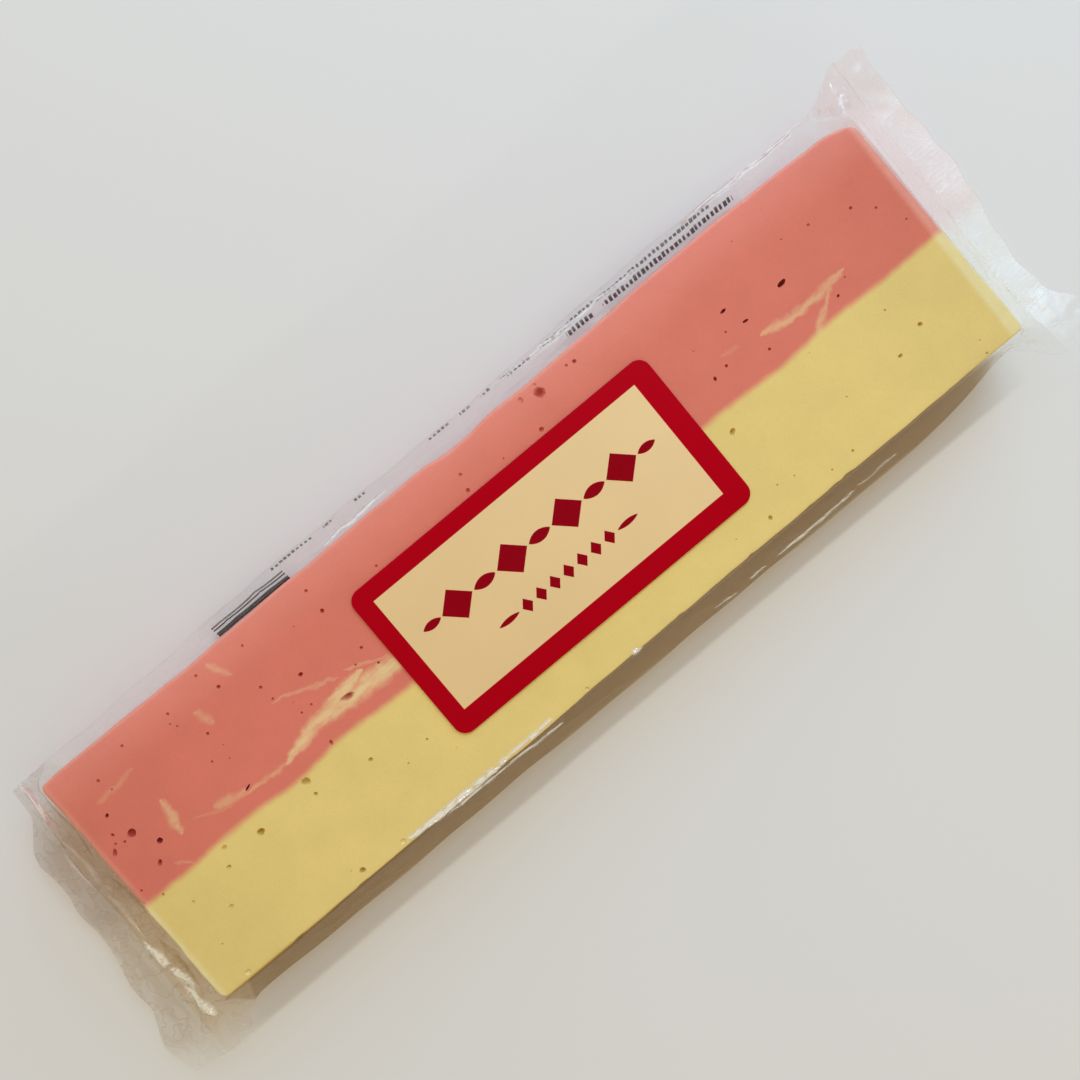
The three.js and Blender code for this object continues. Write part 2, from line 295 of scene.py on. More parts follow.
def nougatColourGroup():
    tree, given, out = newGroup("nougatColour", [("Place", "Vector")], [("Color", "Color")])
    place = given["Place"]
    axes = addNode(tree, "SeparateXYZ", {0: place}).outputs
    # Where the two colours meet, as a height across the bar for each place along it.
    alongShare = ramp(tree, axes["X"], -90, 90)
    tree.nodes[-1].interpolation_type = "LINEAR"
    join = addNode(tree, "FloatCurve", {"Value": alongShare})
    curve = join.mapping.curves[0]
    points = nougatForm["colourJoin"]
    for index, (x, y) in enumerate(points):
        spot = ((x + 90) / 180, (y + 5) / 10)
        if index in (0, len(points) - 1):
            curve.points[0 if index == 0 else -1].location = spot
        else:
            curve.points.new(*spot)
    join.mapping.update()
    joinHeight = calc(tree, "MULTIPLY_ADD", join.outputs[0], 10, -5)
    wobble = calc(tree, "MULTIPLY_ADD", cloud(tree, place, 4.5, 4, 0.6), 1.0, -0.5)
    above = calc(tree, "ADD", calc(tree, "SUBTRACT", axes["Y"], joinHeight), wobble)
    pinkShare = ramp(tree, above, -nougatForm["joinSoftness"], nougatForm["joinSoftness"])
    # Cream streaks drawn into the pink near the top.
    warp = addNode(tree, "TexNoise", {"Vector": place, "Scale": 0.45, "Detail": 3.0}).outputs["Color"]
    warped = vectorCalc(tree, "ADD", place, vectorCalc(
        tree, "MULTIPLY", vectorCalc(tree, "SUBTRACT", warp, (0.5, 0.5, 0.5)), (2.2, 2.0, 0)))
    drawnOut = vectorCalc(tree, "MULTIPLY", place, (0.35, 1.6, 0.4))
    wisps = ramp(tree, cloud(tree, drawnOut, 1.3, 3, 0.6), 0.25, 0.62)
    total = streakTotal(tree, warped, creamStreaks, 0.1)
    streaks = calc(tree, "MULTIPLY", total, calc(tree, "MULTIPLY_ADD", wisps, 0.45, 0.6))
    streaks = calc(tree, "MULTIPLY", streaks, ramp(tree, axes["Z"], 4, 11))
    # Both colours are paler towards the outer edges, a painted highlight where the rounded edges catch
    # the light, and a little deeper towards the ends.
    alongAway, acrossAway = calc(tree, "ABSOLUTE", axes["X"]), calc(tree, "ABSOLUTE", axes["Y"])
    edgeLight = ramp(tree, acrossAway, 15, 23.5)
    pink = blendColours(tree, edgeLight, nougatPaint["pink"], nougatPaint["pinkEdgeLight"])
    pink = blendColours(tree, streaks, pink, nougatPaint["cream"])
    yellow = blendColours(tree, edgeLight, nougatPaint["yellow"], nougatPaint["yellowEdgeLight"])
    colour = blendColours(tree, pinkShare, yellow, pink)
    mottle = calc(tree, "MULTIPLY_ADD", cloud(tree, place, 7, 4, 0.6), 0.16, 0.92)
    grain = calc(tree, "MULTIPLY_ADD", cloud(tree, place, 0.35, 2, 0.5), 0.08, 0.96)
    nearEnd = calc(tree, "MULTIPLY_ADD", ramp(tree, alongAway, 60, 87), -0.07, 1)
    colour = shaded(tree, colour, product(tree, mottle, grain, nearEnd))
    # The rims of the cut faces and the ends are painted paler in patches: painted highlight where they catch
    # the light.
    inside = calc(tree, "MULTIPLY", ramp(tree, alongAway, 87.4, 87.2), ramp(tree, acrossAway, 22.4, 21.9))
    rimHeight = calc(tree, "MULTIPLY", ramp(tree, axes["Z"], 15.62, 15.35), ramp(tree, axes["Z"], 13.8, 14.8))
    litRims = calc(tree, "MULTIPLY", rimHeight, calc(tree, "SUBTRACT", 1, inside))
    litRims = calc(tree, "MAXIMUM", litRims, ramp(tree, alongAway, 86.7, 88.0))
    litRims = calc(tree, "MULTIPLY", litRims, calc(tree, "MULTIPLY_ADD", cloud(tree, place, 1.6, 3), 0.5, 0.25))
    pale = blendColours(tree, pinkShare, nougatPaint["yellowPale"], nougatPaint["pinkPale"])
    colour = blendColours(tree, litRims, colour, pale)
    # Bubbles that the knife opened are painted darker below the cut face: painted shade in the hollows.
    below = ramp(tree, axes["Z"], nougatForm["top"] - 0.12, nougatForm["top"] - 0.75)
    hollowShade = blendColours(tree, pinkShare, nougatPaint["yellowHollowShade"], nougatPaint["pinkHollowShade"])
    colour = blendColours(tree, product(tree, below, inside, 0.9), colour, hollowShade)
    tree.links.new(colour, out["Color"])
    return tree


def nougatReliefGroup():
    group, given, out = newGroup(
        "nougatRelief", [("Place", "Vector")], [("Height", "Float"), ("Roughness", "Float")])
    place = given["Place"]
    lumps = cloud(group, place, 2.6, 4, 0.55)
    grain = cloud(group, place, 0.28, 3, 0.6)
    cells = addNode(group, "TexVoronoi", {"Vector": place, "Scale": 0.9}).outputs["Distance"]
    pin = ramp(group, cells, 0.16, 0.05)
    height = calc(group, "ADD", calc(group, "MULTIPLY", lumps, 0.5), calc(group, "MULTIPLY", grain, 0.22))
    height = calc(group, "SUBTRACT", height, calc(group, "MULTIPLY", pin, 0.35))
    group.links.new(height, out["Height"])
    group.links.new(calc(group, "MULTIPLY_ADD", grain, 0.2, 0.52), out["Roughness"])
    return group


nougatColour = nougatColourGroup()
nougatRelief = nougatReliefGroup()


def nougatMaterial(name):
    material, tree, place = newMaterial(name)
    colour = useGroup(tree, nougatColour, {"Place": place})
    relief = useGroup(tree, nougatRelief, {"Place": place})
    bump = addNode(tree, "Bump", {"Strength": 0.35, "Distance": 0.0003, "Height": relief["Height"]})
    shader = addNode(tree, "BsdfPrincipled", {
        "Base Color": colour["Color"], "Roughness": relief["Roughness"], "Normal": bump.outputs[0],
        "Specular IOR Level": 0.3,
    })
    setSurface(tree, shader.outputs[0])
    return material


def barEdge(x, side):
    return onTable(nougatForm["pinkEdge" if side > 0 else "yellowEdge"], x)


def endSkew(x, y):
    # The bar's +X end is cut a little askew, and its other end almost square.
    form = nougatForm
    full = form["skewRight"] + form["skewGain"] * y if x > 0 else form["skewLeft"]
    return full * smoothStep(abs(x), form["halfLength"] - form["skewLength"], form["halfLength"])


def joinLine(x):
    return lerp(-2.7, -0.9, (x + 88) / 176) + 0.25 * wave(x, 47, 0.4)


def nougatSurface(point, side):
    # Soft hollows from cutting, a slightly uneven outline with small chips, and a joint that wanders.
    x, y, z = point
    shareOut = abs(y) / nougatForm["halfWidth"]
    join = joinLine(x) + 0.5 * bumpy(x, 0, z, 9, 8)
    nearTop = smoothStep(z, 12.5, 15.2)
    outline = lerp(nougatForm["halfWidth"], barEdge(x, side), smoothStep(z, 1, 13))
    edge = side * (outline + 0.15 * bumpy(x, 0, z, 5, side + 3) - 0.1)
    chip = max(0, bumpy(x, 0, 0, 2.3, side + 5) - 0.25) * (0.35 if side > 0 else 1.1)
    edge -= side * chip * nearTop
    y = lerp(join, edge, shareOut)
    roughEnd = 0.2 * bumpy(0, y, z, 6, 11) + 0.1 * bumpy(0, y, z, 1.7, 12) - 0.1
    x += math.copysign(roughEnd * smoothStep(abs(x), 84, 88), x) + endSkew(x, y)
    z += (0.06 * bumpy(x, y, 0, 8, 2) - 0.06) * smoothStep(z, 14, 15.7)
    return Vector((x, y, z))


def rise(edge):
    return abs(edge.verts[0].co.z - edge.verts[1].co.z)


def nougatHalf(side):
    bm = bmesh.new()
    bmesh.ops.create_cube(bm, size=1)
    form = nougatForm
    height = form["top"] - form["bottom"]
    bmesh.ops.translate(bm, verts=bm.verts, vec=(0, 0.5 * side, 0))
    bmesh.ops.scale(bm, verts=bm.verts, vec=(2 * form["halfLength"], form["halfWidth"], height))
    bmesh.ops.translate(bm, verts=bm.verts, vec=(0, 0, (form["top"] + form["bottom"]) / 2))
    for end, offset in zip((-1, 1), form["pinkCorners" if side > 0 else "yellowCorners"]):
        corner = [edge for edge in bm.edges if rise(edge) > 1 and all(
            abs(vert.co.y) > form["halfWidth"] - 0.01 and end * vert.co.x > 0 for vert in edge.verts)]
        bmesh.ops.bevel(bm, geom=corner, offset=offset, segments=5, profile=0.5, affect="EDGES", material=-1)
    rims = [edge for edge in bm.edges if rise(edge) < 0.01 and edge.calc_face_angle(0) >= 0.1
            and any(abs(vert.co.y) > 0.01 for vert in edge.verts)]
    bmesh.ops.bevel(bm, geom=rims, offset=form["pinkRound" if side > 0 else "yellowRound"], segments=4,
                    profile=0.5, affect="EDGES", material=-1)

    def cutAt(normal, at):
        everything = bm.verts[:] + bm.edges[:] + bm.faces[:]
        bmesh.ops.bisect_plane(bm, geom=everything, dist=1e-5, plane_co=normal * at, plane_no=normal)

    step = form["step"]
    for i in range(int(-form["halfLength"] / step) + 1, int(form["halfLength"] / step)):
        cutAt(Vector((1, 0, 0)), i * step)
    for i in range(1, int(form["halfWidth"] / step)):
        cutAt(Vector((0, 1, 0)), side * i * step)
    for i in range(1, 10):
        cutAt(Vector((0, 0, 1)), form["bottom"] + i * height / 10)
    for vert in bm.verts:
        vert.co = nougatSurface(vert.co, side)
    bmesh.ops.recalc_face_normals(bm, faces=bm.faces)
    return bm


# x, y, radius, stretch along its own axis, turn in degrees, depth of each opened bubble
openBubbles = [
    (18.6, 21.4, 1.0, 1.0, 0, 0.7), (15.3, 22.4, 0.5, 1.0, 0, 0.5), (18.7, 22.9, 0.35, 1.2, 40, 0.4),
    (14.9, 16.4, 0.45, 1.1, 20, 0.5), (-0.5, 19.3, 0.35, 1.0, 0, 0.4), (-1.2, 16.4, 0.4, 1.2, 60, 0.5),
    (26.5, 21.7, 0.4, 1.0, 0, 0.5), (25, 22, 0.3, 1.0, 0, 0.4), (62.1, 9.5, 0.5, 1.9, 8, 1.6),
    (51.4, 12.2, 0.33, 1.8, 5, 1.0), (53.3, 8.5, 0.3, 1.9, -8, 0.9), (46, 4.7, 0.28, 1.0, 0, 0.6),
    (53.5, 2.2, 0.28, 1.1, 0, 0.5), (43.1, 4.2, 0.32, 1.2, 80, 0.8), (49.5, 9.2, 0.22, 1.0, 0, 0.4),
    (68.3, 1.7, 0.26, 1.3, 30, 0.6), (79.3, 11.8, 0.3, 1.0, 0, 0.5), (82.7, 9.1, 0.26, 1.0, 0, 0.4),
    (71.8, 14.2, 0.28, 1.2, 20, 0.3), (-32.9, 20.8, 0.3, 1.0, 0, 0.5), (-33, 16.5, 0.36, 1.1, 70, 0.6),
    (-47, 20.5, 0.25, 1.0, 0, 0.4), (-21.2, 16.5, 0.3, 1.0, 0, 0.4), (-32, 7.5, 0.3, 1.0, 0, 0.5),
    (-31.4, 3.7, 0.25, 1.0, 0, 0.5), (-34.6, 5.9, 0.22, 1.0, 0, 0.4), (-42.7, 10.6, 0.38, 1.3, 10, 0.7),
    (-49.2, 13.2, 0.3, 1.0, 0, 0.5), (-48.9, 10.4, 0.25, 1.0, 0, 0.4), (-54.5, 17.8, 0.34, 1.1, 0, 0.6),
    (-63.9, 19.7, 0.3, 1.0, 0, 0.4), (-61, 12.9, 0.3, 1.0, 0, 0.5), (-56.2, 21.6, 0.3, 1.0, 0, 0.4),
    (-44.6, 5.5, 0.25, 1.0, 0, 0.4), (-46.7, 5.5, 0.22, 1.0, 0, 0.4), (-80, 18.5, 0.33, 1.0, 0, 0.4),
    (-81.5, 8.2, 0.8, 1.0, 0, 0.8), (-78.8, 4.2, 0.52, 1.1, 10, 1.2), (-81.2, 1.3, 0.42, 1.5, 45, 0.6),
    (-85.8, 7.4, 0.45, 1.7, 50, 0.5), (-82.7, 13.1, 0.32, 1.3, 30, 0.8), (-84.1, 10, 0.3, 1.2, 90, 0.5),
    (-84.7, 8.5, 0.25, 1.0, 0, 0.4), (-83.3, 7.8, 0.26, 1.0, 0, 0.4), (-73.2, 20.5, 0.3, 1.0, 0, 0.4),
    (-63.5, 8.8, 0.25, 1.0, 0, 0.4), (-61.8, 1.6, 0.24, 3.0, 20, 1.4), (-39.1, 2.6, 0.72, 1.9, -6, 0.6),
    (39.7, -4.6, 0.5, 1.4, 30, 0.6), (35.5, -20.1, 0.4, 1.0, 0, 0.5), (-7.2, -22.5, 0.4, 1.0, 0, 0.4),
    (76.2, -11, 0.42, 1.2, -20, 0.6), (70.2, -13, 0.35, 1.3, 0, 0.5), (82.1, -22.2, 0.3, 1.0, 0, 0.4),
    (53.7, -20.3, 0.3, 1.0, 0, 0.4), (-43, -8.1, 0.4, 1.1, 0, 0.5), (-53.7, -3.9, 0.7, 1.2, -30, 0.6),
    (-53.8, -6.6, 0.35, 1.0, 0, 0.5), (-65, -5.6, 0.66, 1.1, 0, 0.7), (-71.4, -3.7, 0.45, 1.3, 10, 0.35),
    (-72.9, -6.7, 0.38, 1.2, 0, 0.4), (-56.2, -21.8, 0.62, 1.0, 0, 0.6), (-47.8, -22.4, 0.5, 1.1, 0, 0.4),
    (-81.3, -7.4, 0.3, 1.0, 0, 0.3), (-84.3, -3.2, 0.28, 1.0, 0, 0.4), (-77, -12.1, 0.42, 1.3, 0, 0.3),
    (-82.2, -22.6, 0.55, 1.2, 0, 0.5), (-33.5, -11.6, 0.26, 1.0, 0, 0.4), (-46.2, -1.6, 0.35, 1.5, 80, 0.5),
    (-86.6, -0.3, 0.25, 1.0, 0, 0.4),
]
bubbleForm = {"seed": 41, "sideCount": 60, "topFine": 36, "raggedness": 0.2}


def bubbleCutters():
    bm = bmesh.new()
    rng = random.Random(bubbleForm["seed"])
    top = nougatForm["top"] - 0.05

    def addBubble(centre, size, turn=0.0):
        made = bmesh.ops.create_icosphere(bm, subdivisions=3 if max(size) > 0.45 else 2, radius=1)["verts"]
        bmesh.ops.scale(bm, verts=made, vec=size)
        for vert in made:
            vert.co *= 1 + bubbleForm["raggedness"] * bumpy(*(vert.co + centre), 0.5, 4)
        bmesh.ops.rotate(bm, verts=made, cent=(0, 0, 0), matrix=Matrix.Rotation(turn, 3, "Z"))
        bmesh.ops.translate(bm, verts=made, vec=centre)

    for x, y, radius, stretch, turn, depth in openBubbles:
        addBubble(Vector((x, y, top)), (radius * stretch, radius / stretch ** 0.3, depth), math.radians(turn))
    taken = [(x, y, radius * stretch) for x, y, radius, stretch, turn, depth in openBubbles]
    for _ in range(bubbleForm["topFine"]):
        x, y, radius = rng.uniform(-86, 86), rng.uniform(-22, 22), rng.uniform(0.12, 0.22)
        if all(math.hypot(x - tx, y - ty) > tr + 1 for tx, ty, tr in taken):
            taken.append((x, y, radius))
            addBubble(Vector((x, y, top)), (radius, radius, radius * 1.6))
    for _ in range(bubbleForm["sideCount"]):
        along, height, radius = rng.uniform(-86, 86), rng.uniform(2, 14), rng.uniform(0.2, 0.55)
        side = rng.choice((-1, 1))
        if rng.random() < 0.25:
            end = side * nougatForm["halfLength"]
            addBubble(Vector((end, rng.uniform(-21, 21), height)), (radius, radius * 1.2, radius))
        else:
            wall = lerp(nougatForm["halfWidth"], barEdge(along, side), smoothStep(height, 1, 13))
            addBubble(Vector((along, side * wall, height)), (radius * 1.3, radius, radius))
    return bm


def cutAway(piece, cutter):
    cut = piece.modifiers.new("bubbles", "BOOLEAN")
    cut.operation = "DIFFERENCE"
    cut.solver = "MANIFOLD"
    cut.object = cutter
    bpy.context.view_layer.update()
    shaped = bpy.data.meshes.new_from_object(piece.evaluated_get(bpy.context.evaluated_depsgraph_get()))
    piece.modifiers.clear()
    old = piece.data
    shaped.name = old.name
    piece.data = shaped
    bpy.data.meshes.remove(old)
    piece.data.set_sharp_from_angle(angle=math.radians(38))


nougatPink = makeObject("nougatPink", nougatHalf(1), nougatMaterial("nougatPink"), 50)
nougatYellow = makeObject("nougatYellow", nougatHalf(-1), nougatMaterial("nougatYellow"), 50)
cutter = makeObject("bubbleCutter", bubbleCutters(), nougatPink.data.materials[0])
for half in (nougatPink, nougatYellow):
    cutAway(half, cutter)
bpy.data.objects.remove(cutter)
standFor(nougatPink, "film_pack")
standFor(nougatYellow, "film_pack")


# The clear film: one sleeve round the bar, with a crimped fin at each end. Ripples are height, length
# and phase, shifts are side, from, to and by how much, and creases are start x, y, end x, y, half width
# and strength, which sets both a crease's relief and its painted highlight.
filmForm = {
    "top": 15.8, "bottom": 0.6, "under": 0.3, "halfWidth": 23.6, "halfLength": 88.1,
    "topEdge": 0.8, "foldEdge": 0.5, "foldHeight": 4.2, "flareLength": 2, "puckerHeight": 0.5,
    "pinchFrom": 60, "weldRipple": (0.35, 44, 0), "flutterAtWeld": 0.2, "finThickness": 0.16,
    "alongSteps": 300, "endSteps": 20,
}
pinkFold = {"reach": (3.5, 5.4), "ripples": [(0.3, 85, 4.4), (0.12, 17, 2.1)], "pucker": 15}
yellowFold = {"reach": (5, 5.2), "ripples": [(0.15, 53, 1.9), (0.1, 19, 0.4)], "pucker": 13}
finRight = {
    "sign": 1, "reachPink": 9.2, "reachYellow": 8.2, "pinchPink": 1, "pinchYellow": 0.45,
    "weld": 6.9, "depth": 5.7, "lift": 7.6, "tip": 6.6, "weldShifts": [],
    "cutRipples": [(0.55, 48, 0.5), (0.3, 8.5, 3)],
    "cutShifts": [(-1, 20, 26, 2.4), (-1, 28, 31.8, -2), (1, 20, 30, 0.4)],
    "curlShifts": [(-1, 20, 31, 2.8), (1, 22, 33, 1.8)], "flutters": [(0.5, 24, 1.1), (0.2, 9, 0.5)],
    "crumple": 0.4, "creases": [(94.9, -31, 94.8, 32, 0.3, 0.4)],
}
finLeft = {
    "sign": -1, "reachPink": 3, "reachYellow": 9, "pinchPink": 1, "pinchYellow": 1,
    "weld": 7.2, "depth": 7.3, "lift": 6.6, "tip": 1.6, "weldShifts": [(-1, 0, 14, 1.4), (1, 6, 24, -1.6)],
    "cutRipples": [(0.2, 31, -0.9), (0.25, 12.5, 2)],
    "cutShifts": [(-1, 17, 26, 2.3), (-1, 30, 32.6, -0.8), (1, 2, 9, -2), (1, 10, 14, 1.4),
                  (1, 15, 22, -4.7)],
    "curlShifts": [(1, 12, 24, 1.2)], "flutters": [(0.5, 24, -1.1), (0.2, 9, 0.5)], "crumple": 1.5,
    "creases": [
        (-95.5, 26, -96.2, -4, 0.35, 0.2), (-98.2, 14, -97.6, -12, 0.3, 0.15),
        (-97.3, -8, -99.2, -27, 0.5, 0.25), (-101.6, -12, -104, -30, 0.3, 0.15),
        (-100.6, 13, -95.8, 20, 0.35, 0.4), (-99.7, -9, -100.1, -14, 0.6, 0.6),
        (-96.2, 20.5, -94.6, 27, 0.4, 0.4),
    ],
}


def finNear(x):
    return finRight if x > 0 else finLeft


def finReach(fin, side):
    return fin["reachPink"] if side > 0 else fin["reachYellow"]


def finShare(x):
    return smoothStep(abs(x), filmForm["halfLength"] - filmForm["flareLength"],
                      filmForm["halfLength"] + finNear(x)["weld"])


def foldReach(x, side):
    fold = pinkFold if side > 0 else yellowFold
    along = (x + filmForm["halfLength"]) / (2 * filmForm["halfLength"])
    fin = finNear(x)
    fullPinch = fin["pinchPink" if side > 0 else "pinchYellow"]
    pinch = lerp(1, fullPinch, smoothStep(abs(x), filmForm["pinchFrom"], filmForm["halfLength"]) ** 2)
    free = (lerp(*fold["reach"], along) + rippled(fold["ripples"], x)) * pinch
    return lerp(free, finReach(fin, side), finShare(x))


def finHeight(fin, y, out):
    weld, cut = finEdges(fin, y)
    level = lerp(fin["lift"], fin["tip"], min((cut - weld) / fin["depth"], 1) * out ** 1.2)
    flutter = lerp(filmForm["flutterAtWeld"], 1, out) * rippled(fin["flutters"], y)
    return filmForm["bottom"] + level + shifted(fin["curlShifts"], y) + flutter


def finEdges(fin, y):
    weld = fin["weld"] + rippled([filmForm["weldRipple"]], y) + shifted(fin["weldShifts"], y)
    return weld, weld + fin["depth"] + rippled(fin["cutRipples"], y) + shifted(fin["cutShifts"], y)


def foldLine(x, side):
    fin = finNear(x)
    edge = side * (filmForm["halfWidth"] + finReach(fin, side))
    return lerp(filmForm["bottom"] + filmForm["foldHeight"], finHeight(fin, edge, 0), finShare(x))


def bodyHeights(x, side, climb):
    # Upper and lower film over a side fold, from 0 at the edge of the bar to 1 at its outer line.
    pucker = (pinkFold if side > 0 else yellowFold)["pucker"]
    puckered = filmForm["puckerHeight"] * climb * (1 - climb) * wave(x, pucker, side)
    shoulder = filmForm["top"] - filmForm["topEdge"] / 2
    outer = foldLine(x, side)
    return (lerp(shoulder, outer + filmForm["foldEdge"] / 2, climb ** 0.92) + puckered,
            lerp(filmForm["under"], outer - filmForm["foldEdge"] / 2, climb ** 1.3))


def filmRows():
    # Once round the film: kind of place, side, and how far through it.
    rows = [("edge", 1, 0.5)]
    rows += [("upper", 1, 1 - i / 16) for i in range(17)]
    rows += [("shoulder", 1, 1 - i / 4) for i in range(1, 5)]
    rows += [("top", 0, 1 - i / 30) for i in range(1, 60)]
    rows += [("shoulder", -1, i / 4) for i in range(0, 4)]
    rows += [("upper", -1, i / 16) for i in range(17)]
    rows += [("edge", -1, 0.5)]
    rows += [("lower", -1, 1 - i / 8) for i in range(9)]
    rows += [("under", 0, -1 + i / 8) for i in range(1, 16)]
    rows += [("lower", 1, i / 8) for i in range(9)]
    return rows + [("edge", 1, 0.5)]


# Creases of the body; where they are white, that is painted highlight.
bodyCreases = [
    (-46.5, -22.9, -28, -23.2, 0.6, 1.0), (-34, -22.8, -15, -22.8, 0.35, 0.8),
    (-40, -24.0, -14, -24.7, 0.4, 0.9), (2.6, -22.9, 4.2, -22.8, 0.6, 1.0),
    (-26, 24.9, -12, 25.6, 0.4, 1.0), (58, 28.7, 87, 29.0, 0.35, 1.0), (62, 28.1, 84, 28.3, 0.3, 0.7),
    (13, 27.7, 47, 27.5, 0.3, 0.7), (19, 26.9, 33, 26.9, 0.3, 0.5), (33, -27.6, 52, -27.3, 0.4, 1.0),
    (19, -27.6, 24, -27.8, 0.3, 0.6), (27, -27.6, 31, -27.5, 0.35, 0.8), (52, -27.0, 62, -26.6, 0.3, 0.4),
    (86.5, -25.6, 89.5, -25.9, 0.4, 0.7), (88, -23, 93.5, -29, 0.35, 0.2), (89, -23.3, 94.5, -24.5, 0.3, 0.2),
    (87, 29, 94, 25.5, 0.35, 0.2), (88.5, 24, 93.5, 28.5, 0.35, 0.2), (86.5, 28, 88.5, 24.5, 0.3, 0.2),
    (-95.2, -8.2, -94.1, -13.8, 1.4, 1.0), (-93.5, -14.6, -93.2, -19.9, 1.3, 1.0),
    (-94.6, -19.4, -93.2, -26.0, 1.5, 1.0), (-94.3, 19.3, -92.6, 22.8, 1.2, 1.0),
    (-94.8, 28.0, -93.9, 21.8, 0.6, 1.0), (-93.4, 27, -92.6, 22, 0.5, 0.9),
    (-94.6, 19, -92.2, 2, 0.35, 0.2), (-93.2, 12, -94.6, -8, 0.35, 0.2),
]


def creaseAt(x, y, creases):
    x, y = x + 0.5 * bumpy(x, y, 0, 2.9, 31), y + 0.5 * bumpy(x, y, 0, 2.9, 32)
    strongest = 0
    for x0, y0, x1, y1, halfWidth, reliefAndGlint in creases:
        run = Vector((x1 - x0, y1 - y0))
        fromStart = Vector((x - x0, y - y0))
        share = fromStart.dot(run) / run.length_squared
        if 0 < share < 1:
            distance = (fromStart - run * share).length
            width = halfWidth * math.sqrt(4 * share * (1 - share))
            strongest = max(strongest, reliefAndGlint * (1 - smoothStep(distance / width, 0.3, 1.2)))
    return strongest


def markCreases(bm, creases):
    # Only the upper film is creased.
    layer = bm.verts.layers.float.new("crease")
    for vert in bm.verts:
        x, y, z = vert.co
        if z > (7 if abs(x) > 91 else 4.3):
            vert[layer] = creaseAt(x, y, creases)


def filmStations():
    # Along the film: past the end of the bar or not, which fin, and how far.
    half = filmForm["halfLength"]
    along, past = filmForm["alongSteps"], filmForm["endSteps"]
    stations = [("end", finLeft, 1 - i / past) for i in range(past)]
    stations += [("body", None, lerp(-half, half, i / along)) for i in range(along + 1)]
    return stations + [("end", finRight, i / past) for i in range(1, past + 1)]


def climbOf(row):
    return row[2] if row[0] in ("upper", "lower") else (1 if row[0] == "edge" else 0)


def filmPoint(station, row):
    zone, fin, at = station
    kind, side, share = row
    form = filmForm
    sectionX = at if zone == "body" else fin["sign"] * (form["halfLength"] + at * fin["weld"])
    if kind in ("upper", "lower", "edge"):
        climb = climbOf(row)
        reach = foldReach(sectionX, side)
        inner = barEdge(sectionX, side) + 0.1 if kind != "lower" else form["halfWidth"]
        y = side * (lerp(inner, form["halfWidth"] + reach, climb) + (0.2 if kind == "edge" else 0))
        upper, lower = bodyHeights(sectionX, side, climb)
        z = {"upper": upper, "lower": lower, "edge": (upper + lower) / 2}[kind]
    elif kind == "shoulder":
        y = side * (barEdge(sectionX, side) + 0.1 - form["topEdge"] * (1 - share))
        z = form["top"] - form["topEdge"] / 2 * share ** 2
    else:
        half = barEdge(sectionX, math.copysign(1, share)) + 0.1 if kind == "top" else form["halfWidth"]
        y = share * (half - form["topEdge"])
        z = form["top"] if kind == "top" else form["under"]
    if zone == "body":
        fromEnd = form["halfLength"] - abs(at)
        if kind in ("top", "shoulder"):
            z -= form["topEdge"] / 2 * max(0, 1 - fromEnd / form["topEdge"]) ** 2
        return Vector((at + endSkew(at, y), y, z))
    start = fin["sign"] * form["halfLength"] + endSkew(fin["sign"] * form["halfLength"], y)
    weld = fin["sign"] * (form["halfLength"] + finEdges(fin, y)[0])
    finZ = finHeight(fin, y, 0)
    if kind in ("top", "shoulder"):
        z -= form["topEdge"] / 2
    return Vector((lerp(start, weld, at), y, lerp(z, finZ, at ** 0.8)))


def filmWrinkle(point, station, row):
    # How far the film stands off its plain shape, outwards.
    x, y, z = point
    kind, climb = row[0], climbOf(row)
    free = 4 * climb * (1 - climb) if kind in ("upper", "lower") else 0
    if station[0] == "end":
        # Slack film between the bar and a weld is creased along the weld.
        return station[1]["crumple"] * bumpy(x * 1.6, y * 0.35, z * 0.4, 2, 21)
    nearEnd = smoothStep(abs(x), 70, 90)
    lift = free * (0.22 + 0.3 * nearEnd) * bumpy(x, y * 0.6, z * 0.6, 5.5, 1)
    lift += free * 0.3 * ridged(x * 0.7 + 0.5 * y, y, 0, 8, 2, 9)
    if kind in ("top", "shoulder"):
        lift += 0.035 * bumpy(x, y, 0, 6, 3) + 0.015
        streak = smoothStep(-y, 22, 23.4) * smoothStep(x, -52, -46) * (1 - smoothStep(x, -7, -3))
        lift += (0.05 * streak + 0.03 * smoothStep(abs(y), 20, 23.6) * nearEnd) * bumpy(x, y, 0, 1.7, 4)
    return lift


def filmBodyMesh():
    stations, rows = filmStations(), filmRows()
    bm = bmesh.new()
    bmesh.ops.create_grid(bm, x_segments=len(stations) - 1, y_segments=len(rows) - 1, size=0.5)
    places = {}
    for vert in bm.verts:
        column = round((vert.co.x + 0.5) * (len(stations) - 1))
        row = round((vert.co.y + 0.5) * (len(rows) - 1))
        places[vert] = (stations[column], rows[row])
        vert.co = filmPoint(*places[vert])
    bm.normal_update()
    facesOut = sum(face.normal.z * (face.calc_center_median().z - 8) for face in bm.faces) > 0
    moves = {}
    for vert, (station, row) in places.items():
        free = 1 if station[0] == "body" else 4 * station[2] * (1 - station[2])
        moves[vert] = vert.normal * filmWrinkle(vert.co, station, row) * free * (1 if facesOut else -1)
    for vert, move in moves.items():
        vert.co += move
    bmesh.ops.remove_doubles(bm, verts=bm.verts, dist=0.004)
    bmesh.ops.recalc_face_normals(bm, faces=bm.faces)
    markCreases(bm, bodyCreases)
    return bm


finDetail = {"ribPitch": 0.85, "ribHeight": 0.014, "columns": 22, "rowStep": 0.2}


